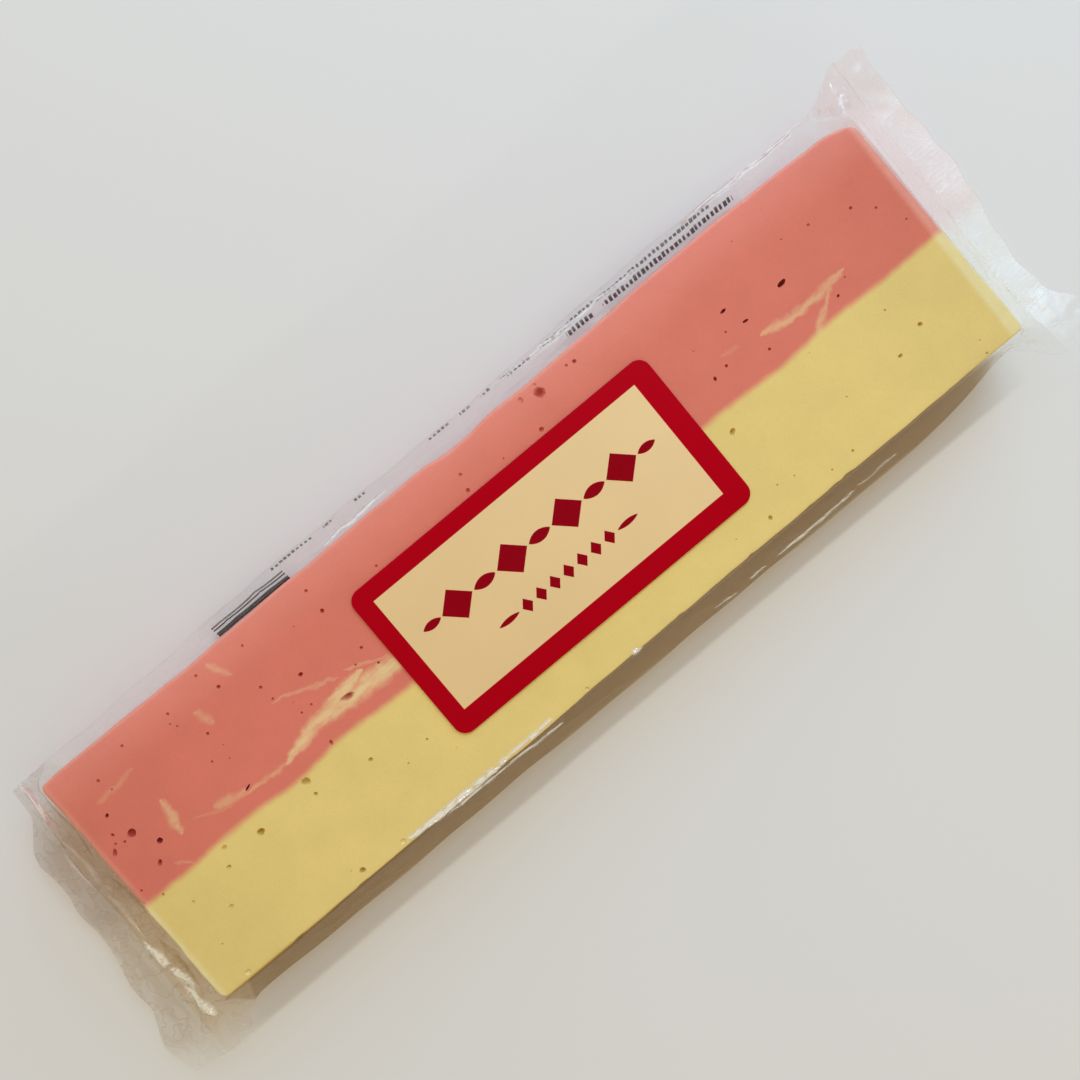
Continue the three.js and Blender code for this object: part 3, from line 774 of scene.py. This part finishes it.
def finMesh(fin):
    form = filmForm
    low = -(form["halfWidth"] + fin["reachYellow"])
    high = form["halfWidth"] + fin["reachPink"]
    rows = round((high - low) / finDetail["rowStep"])
    bm = bmesh.new()
    bmesh.ops.create_grid(bm, x_segments=finDetail["columns"], y_segments=rows, size=0.5)
    for vert in bm.verts:
        out = vert.co.x + 0.5
        y = lerp(low, high, vert.co.y + 0.5)
        weld, cut = finEdges(fin, y)
        z = finHeight(fin, y, out)
        ribbed = smoothStep(out, 0.02, 0.14) * (1 - smoothStep(out, 0.93, 0.99))
        z += finDetail["ribHeight"] * ribbed * wave(y, finDetail["ribPitch"], 0)
        x = fin["sign"] * (form["halfLength"] + lerp(weld - 0.1, cut, out))
        z += 0.3 * smoothStep(out, 0, 0.5) * bumpy(x, y, 0, 4.5, 6 + fin["sign"])
        crumple = 0.35 * fin["crumple"] * (1 - out ** 3) * smoothStep(out, 0, 0.2)
        z += crumple * bumpy(x * 1.3, y * 0.22, 0, 2.4, 23)
        z += 0.45 * smoothStep(abs(y), 16, 23) * smoothStep(out, 0, 0.3) * bumpy(x, y, 0, 2.2, 27)
        vert.co = (x, y, z)
    bmesh.ops.recalc_face_normals(bm, faces=bm.faces)
    bmesh.ops.solidify(bm, geom=bm.faces[:], thickness=form["finThickness"])
    bmesh.ops.recalc_face_normals(bm, faces=bm.faces)
    markCreases(bm, fin["creases"])
    return bm


def filmReliefGroup():
    group, given, out = newGroup("filmRelief", [("Place", "Vector"), ("Crease Size", "Float")],
                                 [("Height", "Float"), ("Haze", "Float")])
    size = given["Crease Size"]
    scaled = addNode(group, "VectorMath", {0: given["Place"], "Scale": size}, operation="SCALE").outputs[0]
    soft = cloud(group, scaled, 1.0, 2, 0.5)
    folded = calc(group, "ABSOLUTE", calc(group, "SUBTRACT", soft, 0.5))
    crease = ramp(group, folded, 0.035, 0.0)
    height = calc(group, "MULTIPLY_ADD", soft, 0.8, calc(group, "MULTIPLY", crease, 0.25))
    group.links.new(height, out["Height"])
    group.links.new(crease, out["Haze"])
    return group


filmRelief = filmReliefGroup()
# Painted light in this table: folded, pinkShade and the end colours are see-through colours that paint shade,
# pinkGlow and pinkSheen paint rosy light bounced off the pink end, and glare and the crease colours paint
# highlight.
filmLook = {
    "clear": (0.995, 0.995, 0.995, 1), "folded": (0.75, 0.655, 0.5, 1), "endShade": (0.968, 0.93, 0.88, 1),
    "endFoldShade": (0.945, 0.895, 0.82, 1), "endCreaseShade": (0.88, 0.815, 0.72, 1),
    "pinkGlow": (1, 0.965, 0.955, 1), "pinkShade": (0.95, 0.945, 0.95, 1), "sheen": (1, 0.99, 0.95, 1),
    "pinkSheen": (1, 0.93, 0.91, 1), "creaseGlintPale": (1, 0.98, 0.84, 1), "creaseGlintRosy": (1, 0.94, 0.93, 1),
    "roughness": 0.1, "haze": 0.004, "creaseHaze": 0.02, "faceOn": 0.02, "edgeOn": 0.3, "glare": 0.45,
    "creaseMirror": 0.35, "glow": 0.3,
}
finLook = dict(filmLook, haze=0.04, creaseHaze=0.05, faceOn=0.015, edgeOn=0.2, roughness=0.3, glare=0.2)
finLeftLook = dict(finLook, haze=0.03, faceOn=0.03, glare=0, endShade=(0.945, 0.935, 0.92, 1),
                   endFoldShade=(0.92, 0.895, 0.865, 1), endCreaseShade=(0.87, 0.835, 0.79, 1))
# Where the looks of the film change: each soft edge runs from its first place to its second.
filmZones = {
    "slack": (15.75, 15.0), "yellowFold": (-23.2, -23.7), "yellowFoldOuter": (-29.2, -28.6),
    "shortOfRight": (89, 80), "pastRight": (89.2, 90.2), "offCorners": (27, 20), "pinkStrip": (-4, 0),
    "pastEnds": (88, 89), "pinkFold": (23.2, 24.4), "rightEnd": (88.4, 89.2), "leftEnd": (-87.7, -88.4),
    "offLeftEnd": (-90, -84), "lowerCorner": (-30, -25), "upperCorner": (23, 18), "pastMiddle": (-1, 1),
}


def raysSee(tree, share, glow=0):
    # The light that film mirrors isn't lost: the film hardly takes from the light that passes, and with
    # a glow it lights what stands beside it.
    rays = addNode(tree, "LightPath").outputs
    kept = calc(tree, "MULTIPLY", share, calc(tree, "MULTIPLY_ADD", rays["Is Shadow Ray"], -0.75, 1))
    return calc(tree, "MAXIMUM", kept, calc(tree, "MULTIPLY", rays["Is Diffuse Ray"], glow))


def filmMaterial(name, look):
    material, tree, place = newMaterial(name)
    axes = dict(addNode(tree, "SeparateXYZ", {0: place}).outputs.items())
    axes["fromEnds"] = calc(tree, "ABSOLUTE", axes["X"])
    axes["fromMiddle"] = calc(tree, "ABSOLUTE", axes["Y"])

    def zone(axis, key):
        return ramp(tree, axes[axis], *filmZones[key])

    # The film clings to the bar's top, where it hardly shines, and is creased where it is slack.
    slack = zone("Z", "slack")
    relief = useGroup(tree, filmRelief, {"Place": place, "Crease Size": 0.28})
    creased = addNode(tree, "Attribute", attribute_name="crease").outputs["Fac"]
    height = calc(tree, "MULTIPLY_ADD", calc(tree, "MULTIPLY", relief["Height"], slack), 0.5, creased)
    bump = addNode(tree, "Bump", {"Strength": 0.5, "Distance": 0.0006, "Height": height})
    facing = addNode(tree, "LayerWeight", {"Blend": 0.5, "Normal": bump.outputs[0]}).outputs["Facing"]
    mirror = calc(tree, "MULTIPLY_ADD", calc(tree, "POWER", facing, 4), look["edgeOn"], look["faceOn"])
    mirror = calc(tree, "MULTIPLY", mirror, calc(tree, "MULTIPLY_ADD", slack, 0.75, 0.25))
    mirror = calc(tree, "MULTIPLY_ADD", creased, look["creaseMirror"], mirror)
    # Haze makes the film whitish. The white along creases is painted highlight, and the glare at the end
    # that faces the light is painted reflected light.
    stretched = vectorCalc(tree, "MULTIPLY", place, (0.6, 1.4, 0))
    broken = ramp(tree, cloud(tree, stretched, 0.8, 1), 0.32, 0.5, 0.3)
    haze = calc(tree, "MULTIPLY", relief["Haze"], slack)
    haze = calc(tree, "MULTIPLY_ADD", haze, look["creaseHaze"], look["haze"])
    # Painted reflected light: the film is whitened at the +X end, which faces the light.
    lit = product(tree, zone("X", "pastRight"), zone("fromMiddle", "offCorners"))
    haze = calc(tree, "MULTIPLY_ADD", lit, look["glare"], haze)
    haze = calc(tree, "MULTIPLY_ADD", creased, broken, haze)
    # Near the ends of the pink strip the film's haze takes a painted rosy light, bounced off the pink nougat.
    nearPinkEnd = product(tree, zone("Y", "pinkStrip"), zone("fromEnds", "pastEnds"))
    sheen = blendColours(tree, nearPinkEnd, look["sheen"], look["pinkSheen"])
    # Creases take the cream or rosy colour of their painted highlight.
    creaseSheen = blendColours(tree, zone("Y", "pastMiddle"), look["creaseGlintPale"], look["creaseGlintRosy"])
    sheen = blendColours(tree, creased, sheen, creaseSheen)
    seen = calc(tree, "ADD", mirror, haze, clamp=True)
    shader = addNode(tree, "BsdfPrincipled", {
        "Base Color": sheen, "Metallic": calc(tree, "DIVIDE", mirror, seen, clamp=True),
        "Normal": bump.outputs[0], "Roughness": look["roughness"],
    })
    facingLight = calc(tree, "MAXIMUM", zone("Y", "pinkFold"), zone("X", "rightEnd"))
    seen = raysSee(tree, seen, product(tree, facingLight, zone("X", "offLeftEnd"), look["glow"]))
    # Beside the yellow strip the film's see-through colour is darkened and browned: painted shade of the
    # bar's shadow, with the yellow side's bounced light, on the table beneath it.
    yellowSideShade = product(tree, zone("Y", "yellowFold"), zone("X", "shortOfRight"), zone("Y", "yellowFoldOuter"))
    through = blendColours(tree, yellowSideShade, look["clear"], look["folded"])
    # At the -X end, in the bar's shade, the see-through colour is darkened and browned as painted shade,
    # more in patches and along creases where the film lies folded, and less so at its corners.
    drawnOut = vectorCalc(tree, "MULTIPLY", place, (0.45, 0.14, 0))
    layers = ramp(tree, cloud(tree, drawnOut, 1, 1), 0.49, 0.52)
    shadedEnd = blendColours(tree, layers, look["endShade"], look["endFoldShade"])
    shadedEnd = blendColours(tree, relief["Haze"], shadedEnd, look["endCreaseShade"])
    inner = product(tree, zone("Y", "lowerCorner"), zone("Y", "upperCorner"))
    shadedEnd = blendColours(tree, calc(tree, "MULTIPLY_ADD", inner, 0.75, 0.25), look["clear"], shadedEnd)
    through = blendColours(tree, zone("X", "leftEnd"), through, shadedEnd)
    # What shows through there is tinted too: painted rosy bounce light at +X, painted shade at -X.
    pinkTint = blendColours(tree, zone("X", "pastMiddle"), look["pinkShade"], look["pinkGlow"])
    tinted = blendColours(tree, 1.0, through, pinkTint, "MULTIPLY")
    setClearSurface(tree, seen, blendColours(tree, nearPinkEnd, through, tinted), shader.outputs[0])
    return material


filmSkin = filmBodyMesh()
filmTree = BVHTree.FromBMesh(filmSkin)
for name, bm, look, sharpAngle in (
        ("filmBody", filmSkin, filmLook, None), ("filmFinRight", finMesh(finRight), finLook, 60),
        ("filmFinLeft", finMesh(finLeft), finLeftLook, 60)):
    standFor(makeObject(name, bm, filmMaterial(name, look), sharpAngle), "film_pack")


# The front label, with its printed ornament as a thin piece of its own.

labelPaint = {
    "border": (0.47, 0.0006, 0.009, 1), "field": (0.875, 0.62, 0.305, 1), "fibre": (0.91, 0.69, 0.38, 1),
    "print": (0.28, 0.001, 0.006, 1), "printFibre": (0.33, 0.002, 0.01, 1), "cutEdge": paint(225, 220, 210),
}


def frontLabelMesh():
    form = labelForm
    bm = bmesh.new()
    bmesh.ops.create_cube(bm, size=1)
    bmesh.ops.scale(bm, verts=bm.verts, vec=(form["length"], form["width"], form["top"] - form["bottom"]))
    uprights = [edge for edge in bm.edges if rise(edge) > 0.01]
    bmesh.ops.bevel(bm, geom=uprights, offset=form["corner"], segments=8, profile=0.5, affect="EDGES",
                    material=-1)
    rims = [edge for edge in bm.edges if edge.verts[0].co.z > 0 and edge.verts[1].co.z > 0]
    bmesh.ops.bevel(bm, geom=rims, offset=0.05, segments=2, profile=0.5, affect="EDGES", material=-1)
    bmesh.ops.translate(bm, verts=bm.verts, vec=(form["shift"], 0, (form["top"] + form["bottom"]) / 2))
    return bm


def labelMaterial():
    material, tree, place = newMaterial("frontLabel")
    axes = addNode(tree, "SeparateXYZ", {0: place}).outputs
    form = labelForm
    along = calc(tree, "ABSOLUTE", calc(tree, "SUBTRACT", axes["X"], form["fieldX"]))
    across = calc(tree, "ABSOLUTE", calc(tree, "SUBTRACT", axes["Y"], form["fieldY"]))
    along = calc(tree, "SUBTRACT", along, form["fieldLength"] / 2)
    across = calc(tree, "SUBTRACT", across, form["fieldWidth"] / 2)
    border = ramp(tree, calc(tree, "MAXIMUM", along, across), -0.04, 0.04)
    upFace = ramp(tree, axes["Z"], form["top"] - 0.06, form["top"] - 0.02)
    fibre = cloud(tree, vectorCalc(tree, "MULTIPLY", place, (1, 1.6, 1)), 0.5, 4, 0.65)
    tone = calc(tree, "MULTIPLY_ADD", cloud(tree, place, 14, 2), 0.1, 0.95)
    fibreShare = calc(tree, "MULTIPLY_ADD", fibre, 0.5, 0.1)
    field = blendColours(tree, fibreShare, labelPaint["field"], labelPaint["fibre"])
    colour = blendColours(tree, border, field, labelPaint["border"])
    colour = blendColours(tree, upFace, labelPaint["cutEdge"], colour)
    colour = shaded(tree, colour, tone)
    bump = addNode(tree, "Bump", {"Strength": 0.15, "Distance": 0.0001, "Height": fibre})
    shader = addNode(tree, "BsdfPrincipled", {
        "Base Color": colour, "Roughness": calc(tree, "MULTIPLY_ADD", fibre, 0.2, 0.35),
        "Normal": bump.outputs[0], "Specular IOR Level": 0.02,
    })
    setSurface(tree, shader.outputs[0])
    return material


# A wide row of lozenges and leaves over a short row. Each place is along the field from its middle, and
# sizes are half lengths and half heights.
ornamentForm = {
    "thickness": 0.03, "sunk": 0.01, "rowY": 2.6, "smallRowY": -5.2, "leafPinch": 1.8, "leafSides": 24,
    "lozenges": [-18, -6, 6, 18], "lozengeSize": (3.3, 3.1), "leaves": [-12, 0, 12], "leafSize": (2.3, 1.0),
    "tips": [-23.5, 23.5], "tipSize": (1.9, 0.75), "diamonds": [-9, -6, -3, 0, 3, 6, 9],
    "diamondSize": (1.1, 1.4), "smallLeaves": [-13, 13], "smallLeafSize": (2.2, 0.5),
}


def ornamentMesh():
    bm = bmesh.new()
    form = ornamentForm

    def addShapes(key, sizeKey, y, sides, pinch=1):
        for x in form[key]:
            made = bmesh.ops.create_circle(bm, cap_ends=True, segments=sides, radius=1)["verts"]
            for vert in made:
                vert.co.y = math.copysign(abs(vert.co.y) ** pinch, vert.co.y)
            bmesh.ops.scale(bm, verts=made, vec=(*form[sizeKey], 1))
            bmesh.ops.translate(bm, verts=made, vec=(x + labelForm["fieldX"], y + labelForm["fieldY"], 0))

    addShapes("lozenges", "lozengeSize", form["rowY"], 4)
    addShapes("leaves", "leafSize", form["rowY"], form["leafSides"], form["leafPinch"])
    addShapes("tips", "tipSize", form["rowY"], form["leafSides"], form["leafPinch"])
    addShapes("diamonds", "diamondSize", form["smallRowY"], 4)
    addShapes("smallLeaves", "smallLeafSize", form["smallRowY"], form["leafSides"], form["leafPinch"])
    made = bmesh.ops.extrude_face_region(bm, geom=bm.faces[:])
    raised = [item for item in made["geom"] if isinstance(item, bmesh.types.BMVert)]
    bmesh.ops.translate(bm, verts=raised, vec=(0, 0, form["thickness"]))
    bmesh.ops.translate(bm, verts=bm.verts, vec=(0, 0, labelForm["top"] - form["sunk"]))
    bmesh.ops.recalc_face_normals(bm, faces=bm.faces)
    return bm


def ornamentMaterial():
    material, tree, place = newMaterial("labelOrnament")
    fibre = cloud(tree, place, 0.4, 4, 0.65)
    colour = blendColours(tree, fibre, labelPaint["print"], labelPaint["printFibre"])
    shader = addNode(tree, "BsdfPrincipled", {
        "Base Color": colour, "Roughness": calc(tree, "MULTIPLY_ADD", fibre, 0.2, 0.35),
        "Specular IOR Level": 0.02,
    })
    setSurface(tree, shader.outputs[0])
    return material


standFor(makeObject("frontLabel", frontLabelMesh(), labelMaterial(), 30), "front_label")
standFor(makeObject("labelOrnament", ornamentMesh(), ornamentMaterial(), 30), "front_label")


# The clear back label, which turns up over the pink side.

backForm = {
    "start": -53, "end": 70, "inset": 15, "turnUp": 0.62, "gap": 0.05, "thickness": 0.16, "columns": 240,
    "clear": (0.995, 0.995, 0.995, 1), "sheen": (0.9, 0.9, 0.9, 1), "ink": paint(26, 24, 28),
}


def backPath(x):
    # The film's surface under the label in one cross-section, from the underside to the side slope.
    form = filmForm
    path = [Vector((-backForm["inset"], form["under"]))]
    for i in range(1, 9):
        path.append(Vector((lerp(-backForm["inset"], form["halfWidth"], i / 8), form["under"])))
    reach = foldReach(x, 1)
    for i in range(1, 9):
        path.append(Vector((form["halfWidth"] + reach * i / 8, bodyHeights(x, 1, i / 8)[1])))
    upper, lower = bodyHeights(x, 1, 1)
    path.append(Vector((form["halfWidth"] + reach + 0.2, (upper + lower) / 2)))
    for i in range(0, 11):
        climb = 1 - backForm["turnUp"] * i / 10
        path.append(Vector((form["halfWidth"] + climb * reach, bodyHeights(x, 1, climb)[0])))
    return path


def backLabelMesh():
    columns = backForm["columns"]
    paths = [backPath(lerp(backForm["start"], backForm["end"], i / columns)) for i in range(columns + 1)]
    rows = len(paths[0]) - 1
    bm = bmesh.new()
    bmesh.ops.create_grid(bm, x_segments=columns, y_segments=rows, size=0.5)
    flat = bm.loops.layers.uv.new("printPlace")
    spread = {}
    for vert in bm.verts:
        column = round((vert.co.x + 0.5) * columns)
        row = round((vert.co.y + 0.5) * rows)
        path = paths[column]
        x = lerp(backForm["start"], backForm["end"], column / columns)
        onFilm, outwards = filmTree.find_nearest(Vector((x, path[row].x, path[row].y)))[:2]
        length = sum((b - a).length for a, b in zip(path[:row], path[1:row + 1]))
        spread[vert] = (x, length - backForm["inset"] - filmForm["halfWidth"])
        vert.co = Vector((x, onFilm.y, onFilm.z)) + outwards * backForm["gap"]
    for face in bm.faces:
        for loop in face.loops:
            loop[flat].uv = spread[loop.vert]
    bmesh.ops.recalc_face_normals(bm, faces=bm.faces)
    bmesh.ops.solidify(bm, geom=bm.faces[:], thickness=backForm["thickness"])
    bmesh.ops.recalc_face_normals(bm, faces=bm.faces)
    return bm


# Rows of letter-sized marks in place of small print, each with its x from and to, distance outwards from
# the bar's lower edge, height and share of words, and a block of bars with their distance and height.
backPrint = {
    "rows": [(30, 68.5, 2.75, 1.3, 0.92), (17, 64, 4.85, 0.95, 0.85), (-42, 17, 5.3, 0.6, 0.5)],
    "bars": [(1.05, 0.92), (2.7, 0.2), (3.4, 0.28)], "barsFrom": -52, "barsTo": -35.7,
    "letterPitch": 0.95, "letterLeast": 0.48, "letterMore": 0.3, "wordPitch": 2.4, "rowShift": 13.7,
    "lowLetters": 0.65, "slotPitch": 0.36, "slotFrom": 0.06,
}


def backPrintGroup():
    tree, given, out = newGroup("backPrint", [("Along", "Float"), ("Across", "Float")], [("Mask", "Float")])
    along, across = given["Along"], given["Across"]
    form = backPrint

    def over(value, low):
        return calc(tree, "GREATER_THAN", value, low)

    def under(value, high):
        return calc(tree, "LESS_THAN", value, high)

    def drawFor(value):
        whole = calc(tree, "FLOOR", value)
        return addNode(tree, "TexWhiteNoise", {"W": whole}, noise_dimensions="1D").outputs["Value"]

    printed = 0.0
    for index, (start, end, low, height, words) in enumerate(form["rows"]):
        movedOn = calc(tree, "ADD", along, form["rowShift"] * index)
        letter = calc(tree, "DIVIDE", movedOn, form["letterPitch"])
        chance = drawFor(letter)
        width = calc(tree, "MULTIPLY_ADD", chance, form["letterMore"], form["letterLeast"])
        tallness = calc(tree, "FRACT", calc(tree, "MULTIPLY", chance, 7))
        top = calc(tree, "MULTIPLY_ADD", tallness, (1 - form["lowLetters"]) * height,
                   low + form["lowLetters"] * height)
        mark = product(tree, under(calc(tree, "FRACT", letter), width), over(across, low), under(across, top))
        # Slots leave openings in the marks, as letters have.
        slots = calc(tree, "PINGPONG", calc(tree, "MULTIPLY_ADD", chance, 0.3, across), form["slotPitch"])
        inWord = under(drawFor(calc(tree, "DIVIDE", movedOn, form["wordPitch"])), words)
        mark = product(tree, mark, over(slots, form["slotFrom"]), inWord, over(along, start),
                       under(along, end))
        printed = calc(tree, "MAXIMUM", printed, mark)
    for low, height in form["bars"]:
        bar = product(tree, over(across, low), under(across, low + height), over(along, form["barsFrom"]),
                      under(along, form["barsTo"]))
        printed = calc(tree, "MAXIMUM", printed, bar)
    tree.links.new(printed, out["Mask"])
    return tree


def backLabelMaterial():
    material, tree = newMaterial("backLabel")[:2]
    spread = addNode(tree, "UVMap", uv_map="printPlace").outputs[0]
    axes = addNode(tree, "SeparateXYZ", {0: spread}).outputs
    printed = useGroup(tree, backPrintGroup(), {"Along": axes["X"], "Across": axes["Y"]})["Mask"]
    facing = addNode(tree, "LayerWeight", {"Blend": 0.5}).outputs["Facing"]
    mirror = calc(tree, "MULTIPLY_ADD", calc(tree, "POWER", facing, 4), 0.3, 0.015, clamp=True)
    clearShare = calc(tree, "ADD", mirror, 0.005)
    seen = calc(tree, "MAXIMUM", printed, raysSee(tree, clearShare))
    metal = product(tree, calc(tree, "DIVIDE", mirror, clearShare), calc(tree, "SUBTRACT", 1, printed))
    shader = addNode(tree, "BsdfPrincipled", {
        "Base Color": blendColours(tree, printed, backForm["sheen"], backForm["ink"]), "Metallic": metal,
        "Roughness": 0.25,
    })
    setClearSurface(tree, seen, backForm["clear"], shader.outputs[0])
    return material


standFor(makeObject("backLabel", backLabelMesh(), backLabelMaterial(), 60), "back_label")


# Floor, light and camera.

studio = {
    "floor": paint(231, 231, 229), "floorHalf": 1500, "world": (0.56, 0.482, 0.375, 1),
    "softPower": 1.95, "softColour": (0.37, 0.81, 1.43), "softSize": 0.556, "softDistance": 720,
    "softTilt": 56, "softAzimuth": 40,
    "keyPower": 1.9, "keyColour": (1.03, 1.02, 0.9), "keyPlace": (352, 447, 705), "keyLength": 0.7,
    "keyWidth": 0.03,
    "sideGlint": [(-10, -381, 194), (-10, -23.5, 15), 0.12, (1, 0.98, 0.92), 0.24, 0.018],
    "endGlint": [(-400, -10, 190), (-93, -10, 9), 0.012, (1, 0.98, 0.94), 0.02],
    "lens": 45, "sensor": 36, "cameraPlace": (-0.17, 17.40, 243.58), "cameraAim": (2.8, 2.2, 15.8),
    "cameraTurn": 39.65,
}


def makeFloor():
    bm = bmesh.new()
    bmesh.ops.create_grid(bm, x_segments=1, y_segments=1, size=studio["floorHalf"])
    material, tree = newMaterial("floor")[:2]
    shader = addNode(tree, "BsdfPrincipled", {
        "Base Color": studio["floor"], "Roughness": 0.8, "Specular IOR Level": 0.2,
    })
    setSurface(tree, shader.outputs[0])
    makeObject("floor", bm, material)


def addLight(name, place, aim, power, colour, size, sizeY=None):
    # Places are in millimetres, and the lamp's own sizes in metres.
    data = bpy.data.lights.new(name, "AREA")
    data.energy = power
    data.color = colour
    data.size = size
    if sizeY:
        data.shape = "RECTANGLE"
        data.size_y = sizeY
    light = bpy.data.objects.new(name, data)
    bpy.context.scene.collection.objects.link(light)
    light.location = toFrame @ Vector(place)
    light.rotation_euler = (Vector(place) - Vector(aim)).to_track_quat("Z", "Y").to_euler()


def lightUp():
    world = bpy.data.worlds.new("studio")
    world.use_nodes = True
    world.node_tree.nodes["Background"].inputs["Color"].default_value = studio["world"]
    world.node_tree.nodes["Background"].inputs["Strength"].default_value = 1
    bpy.context.scene.world = world
    tilt, azimuth = math.radians(studio["softTilt"]), math.radians(studio["softAzimuth"])
    towards = Vector((math.sin(tilt) * math.cos(azimuth), math.sin(tilt) * math.sin(azimuth), math.cos(tilt)))
    addLight("soft", towards * studio["softDistance"], (0, 0, 0), studio["softPower"], studio["softColour"],
             studio["softSize"])
    # A long lamp beside the bar: shadows are sharp along it and soft across it.
    addLight("key", studio["keyPlace"], (studio["keyPlace"][0], 0, 0), studio["keyPower"],
             studio["keyColour"], studio["keyLength"], studio["keyWidth"])
    # Two weak lights that only show as glints in the film.
    for name in ("sideGlint", "endGlint"):
        addLight(name, *studio[name])


def placeCamera():
    camera = bpy.data.cameras.new("camera")
    camera.lens = studio["lens"]
    camera.sensor_width = studio["sensor"]
    holder = bpy.data.objects.new("camera", camera)
    bpy.context.scene.collection.objects.link(holder)
    place, aim = Vector(studio["cameraPlace"]), Vector(studio["cameraAim"])
    turn = math.radians(studio["cameraTurn"])
    back = (place - aim).normalized()
    right = Vector((math.sin(turn), math.cos(turn), 0)).cross(back).normalized()
    turned = Matrix((right, back.cross(right), back)).transposed().to_4x4()
    holder.matrix_world = Matrix.Translation(toFrame @ place) @ turned
    bpy.context.scene.camera = holder


makeFloor()
lightUp()
placeCamera()
bpy.context.scene.view_settings.view_transform = "Standard"
bpy.context.scene.cycles.transparent_max_bounces = 24  # the wrap is many clear layers deep
print("studio ready")
